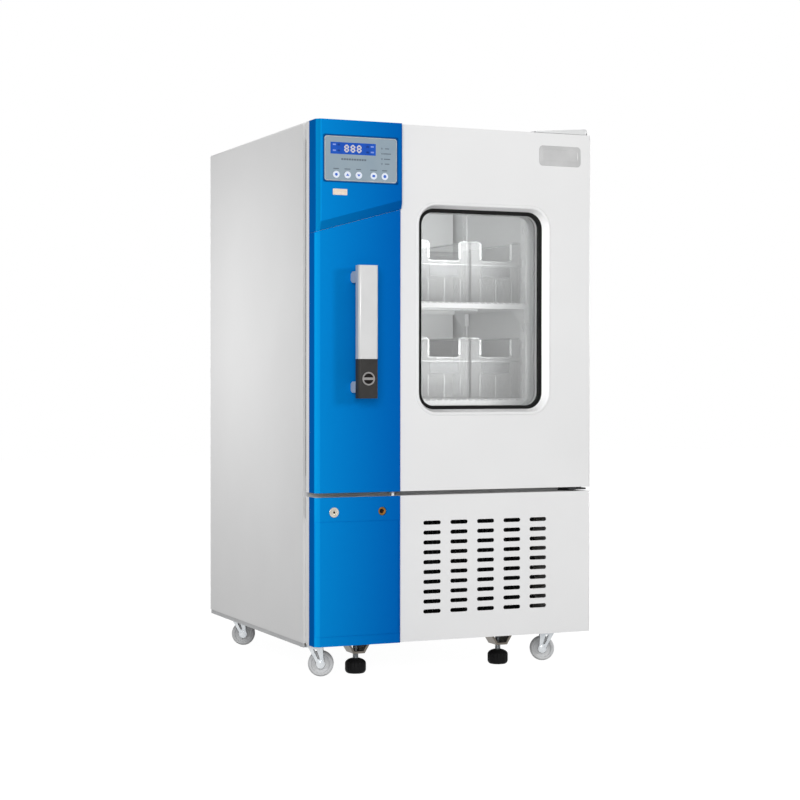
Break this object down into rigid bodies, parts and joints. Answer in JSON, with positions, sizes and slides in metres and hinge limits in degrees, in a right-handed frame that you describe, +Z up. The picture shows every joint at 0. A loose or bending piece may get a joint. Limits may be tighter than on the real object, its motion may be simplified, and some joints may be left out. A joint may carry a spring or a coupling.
{
  "type": "blood bank refrigerator",
  "caption": "Blood bank refrigerator on swivel casters: insulated cabinet, glazed hinged door with a blue control column, wire shelves of clear drawers and a slotted machine panel.",
  "frame": {"origin": "on the floor under the middle of the closed refrigerator's bounding box", "axes": "+Z up, +X to the right seen from the front, -Y out of the door's front"},
  "size_m": [0.56, 0.652, 1.0175],
  "materials": {
    "casing_white": "satin",
    "door_white": "satin",
    "galvanised": "satin",
    "foam": "matte",
    "liner_white": "satin",
    "blue_plastic": "gloss",
    "bright_metal": "satin",
    "black_steel": "satin",
    "fin_aluminium": "satin",
    "dark_plastic": "matte",
    "wire_white": "satin",
    "cover_grey": "satin",
    "gasket_grey": "matte",
    "seal_black": "satin",
    "pane": "gloss",
    "panel_grey": "satin",
    "display_blue": "gloss",
    "handle_silver": "satin",
    "block_black": "satin",
    "key_white": "gloss",
    "clear_plastic": "gloss",
    "wheel_grey": "satin",
    "foot_black": "satin"
  },
  "bodies": {
    "cabinet": {"outer_shell": "casing_white", "back_panel": "galvanised", "insulation_foam": "foam", "inner_liner": "liner_white", "base_tray": "galvanised", "base_brackets": "galvanised", "lower_front_panel": "door_white", "lower_blue_cover": "blue_plastic", "lower_lock_ring": "bright_metal", "compressor": "black_steel", "condenser": "fin_aluminium", "fan_motor": "dark_plastic", "evaporator": "fin_aluminium", "evaporator_cover": "liner_white", "shelf_supports": "wire_white", "shelves": "wire_white", "hinge_brackets": "galvanised", "hinge_cover": "cover_grey", "power_inlet": "dark_plastic"},
    "door": {"door_outer_panel": "door_white", "door_core": "foam", "door_inner_liner": "liner_white", "door_gasket": "gasket_grey", "door_hinge_bushes": "dark_plastic", "window_frame": "liner_white", "window_seal": "seal_black", "window_glass": "pane", "door_blue_cover": "blue_plastic", "control_housing": "blue_plastic", "control_panel": "panel_grey", "display_window": "display_blue", "handle_bar": "handle_silver", "handle_lock_block": "block_black"},
    "handle_lock": {"handle_lock_plug": "bright_metal"},
    "lower_lock": {"lower_lock_plug": "bright_metal"},
    "key_1": {"key_1": "key_white"},
    "key_2": {"key_2": "key_white"},
    "key_3": {"key_3": "key_white"},
    "key_4": {"key_4": "key_white"},
    "key_5": {"key_5": "key_white"},
    "drawer_upper_1": {"drawer_upper_1": "clear_plastic"},
    "drawer_upper_2": {"drawer_upper_2": "clear_plastic"},
    "drawer_upper_3": {"drawer_upper_3": "clear_plastic"},
    "drawer_upper_4": {"drawer_upper_4": "clear_plastic"},
    "drawer_lower_1": {"drawer_lower_1": "clear_plastic"},
    "drawer_lower_2": {"drawer_lower_2": "clear_plastic"},
    "drawer_lower_3": {"drawer_lower_3": "clear_plastic"},
    "drawer_lower_4": {"drawer_lower_4": "clear_plastic"},
    "condenser_fan": {"condenser_fan": "dark_plastic"},
    "caster_front_left": {"fork_front_left": "galvanised"},
    "wheel_front_left": {"wheel_front_left": "wheel_grey"},
    "caster_front_right": {"fork_front_right": "galvanised"},
    "wheel_front_right": {"wheel_front_right": "wheel_grey"},
    "caster_rear_left": {"fork_rear_left": "galvanised"},
    "wheel_rear_left": {"wheel_rear_left": "wheel_grey"},
    "caster_rear_right": {"fork_rear_right": "galvanised"},
    "wheel_rear_right": {"wheel_rear_right": "wheel_grey"},
    "foot_left": {"foot_left_knob": "foot_black"},
    "foot_right": {"foot_right_knob": "foot_black"}
  },
  "joints": [
    {"name": "door_hinge", "type": "hinge", "parent": "cabinet", "child": "door", "pos_m": [0.266, -0.256, 0.673], "axis": [0, 0, 1], "range_deg": [0, 110]},
    {"name": "handle_lock_turn", "type": "hinge", "parent": "door", "child": "handle_lock", "pos_m": [-0.1955, -0.326, 0.545], "axis": [0, 1, 0], "range_deg": [0, 90]},
    {"name": "lower_lock_turn", "type": "hinge", "parent": "cabinet", "child": "lower_lock", "pos_m": [-0.2445, -0.282, 0.3065], "axis": [0, 1, 0], "range_deg": [0, 90]},
    {"name": "key_1_press", "type": "slide", "parent": "door", "child": "key_1", "axis": [0, 1, 0], "range_m": [0, 0.0008], "stiffness_N_per_m": 500},
    {"name": "key_2_press", "type": "slide", "parent": "door", "child": "key_2", "axis": [0, 1, 0], "range_m": [0, 0.0008], "stiffness_N_per_m": 500},
    {"name": "key_3_press", "type": "slide", "parent": "door", "child": "key_3", "axis": [0, 1, 0], "range_m": [0, 0.0008], "stiffness_N_per_m": 500},
    {"name": "key_4_press", "type": "slide", "parent": "door", "child": "key_4", "axis": [0, 1, 0], "range_m": [0, 0.0008], "stiffness_N_per_m": 500},
    {"name": "key_5_press", "type": "slide", "parent": "door", "child": "key_5", "axis": [0, 1, 0], "range_m": [0, 0.0008], "stiffness_N_per_m": 500},
    {"name": "drawer_upper_1_slide", "type": "slide", "parent": "cabinet", "child": "drawer_upper_1", "axis": [0, -1, 0], "range_m": [0, 0.11]},
    {"name": "drawer_upper_2_slide", "type": "slide", "parent": "cabinet", "child": "drawer_upper_2", "axis": [0, -1, 0], "range_m": [0, 0.11]},
    {"name": "drawer_upper_3_slide", "type": "slide", "parent": "cabinet", "child": "drawer_upper_3", "axis": [0, -1, 0], "range_m": [0, 0.11]},
    {"name": "drawer_upper_4_slide", "type": "slide", "parent": "cabinet", "child": "drawer_upper_4", "axis": [0, -1, 0], "range_m": [0, 0.11]},
    {"name": "drawer_lower_1_slide", "type": "slide", "parent": "cabinet", "child": "drawer_lower_1", "axis": [0, -1, 0], "range_m": [0, 0.11]},
    {"name": "drawer_lower_2_slide", "type": "slide", "parent": "cabinet", "child": "drawer_lower_2", "axis": [0, -1, 0], "range_m": [0, 0.11]},
    {"name": "drawer_lower_3_slide", "type": "slide", "parent": "cabinet", "child": "drawer_lower_3", "axis": [0, -1, 0], "range_m": [0, 0.11]},
    {"name": "drawer_lower_4_slide", "type": "slide", "parent": "cabinet", "child": "drawer_lower_4", "axis": [0, -1, 0], "range_m": [0, 0.11]},
    {"name": "fan_spin", "type": "hinge", "parent": "cabinet", "child": "condenser_fan", "pos_m": [0.0595, -0.07, 0.207], "axis": [0, 1, 0], "continuous": true},
    {"name": "caster_front_left_swivel", "type": "hinge", "parent": "cabinet", "child": "caster_front_left", "pos_m": [-0.251, -0.179, 0.055], "axis": [0, 0, 1], "continuous": true},
    {"name": "wheel_front_left_roll", "type": "hinge", "parent": "caster_front_left", "child": "wheel_front_left", "pos_m": [-0.23266, -0.18697, 0.0235], "axis": [0.3987, 0.9171, 0], "continuous": true},
    {"name": "caster_front_right_swivel", "type": "hinge", "parent": "cabinet", "child": "caster_front_right", "pos_m": [0.251, -0.179, 0.055], "axis": [0, 0, 1], "continuous": true},
    {"name": "wheel_front_right_roll", "type": "hinge", "parent": "caster_front_right", "child": "wheel_front_right", "pos_m": [0.23266, -0.17103, 0.0235], "axis": [-0.3987, -0.9171, 0], "continuous": true},
    {"name": "caster_rear_left_swivel", "type": "hinge", "parent": "cabinet", "child": "caster_rear_left", "pos_m": [-0.251, 0.262, 0.055], "axis": [0, 0, 1], "continuous": true},
    {"name": "wheel_rear_left_roll", "type": "hinge", "parent": "caster_rear_left", "child": "wheel_rear_left", "pos_m": [-0.23266, 0.25403, 0.0235], "axis": [0.3987, 0.9171, 0], "continuous": true},
    {"name": "caster_rear_right_swivel", "type": "hinge", "parent": "cabinet", "child": "caster_rear_right", "pos_m": [0.251, 0.262, 0.055], "axis": [0, 0, 1], "continuous": true},
    {"name": "wheel_rear_right_roll", "type": "hinge", "parent": "caster_rear_right", "child": "wheel_rear_right", "pos_m": [0.23266, 0.26997, 0.0235], "axis": [-0.3987, -0.9171, 0], "continuous": true},
    {"name": "foot_left_screw", "type": "slide", "parent": "cabinet", "child": "foot_left", "axis": [0, 0, 1], "range_m": [-0.01, 0.006]},
    {"name": "foot_right_screw", "type": "slide", "parent": "cabinet", "child": "foot_right", "axis": [0, 0, 1], "range_m": [-0.01, 0.006]}
  ]
}
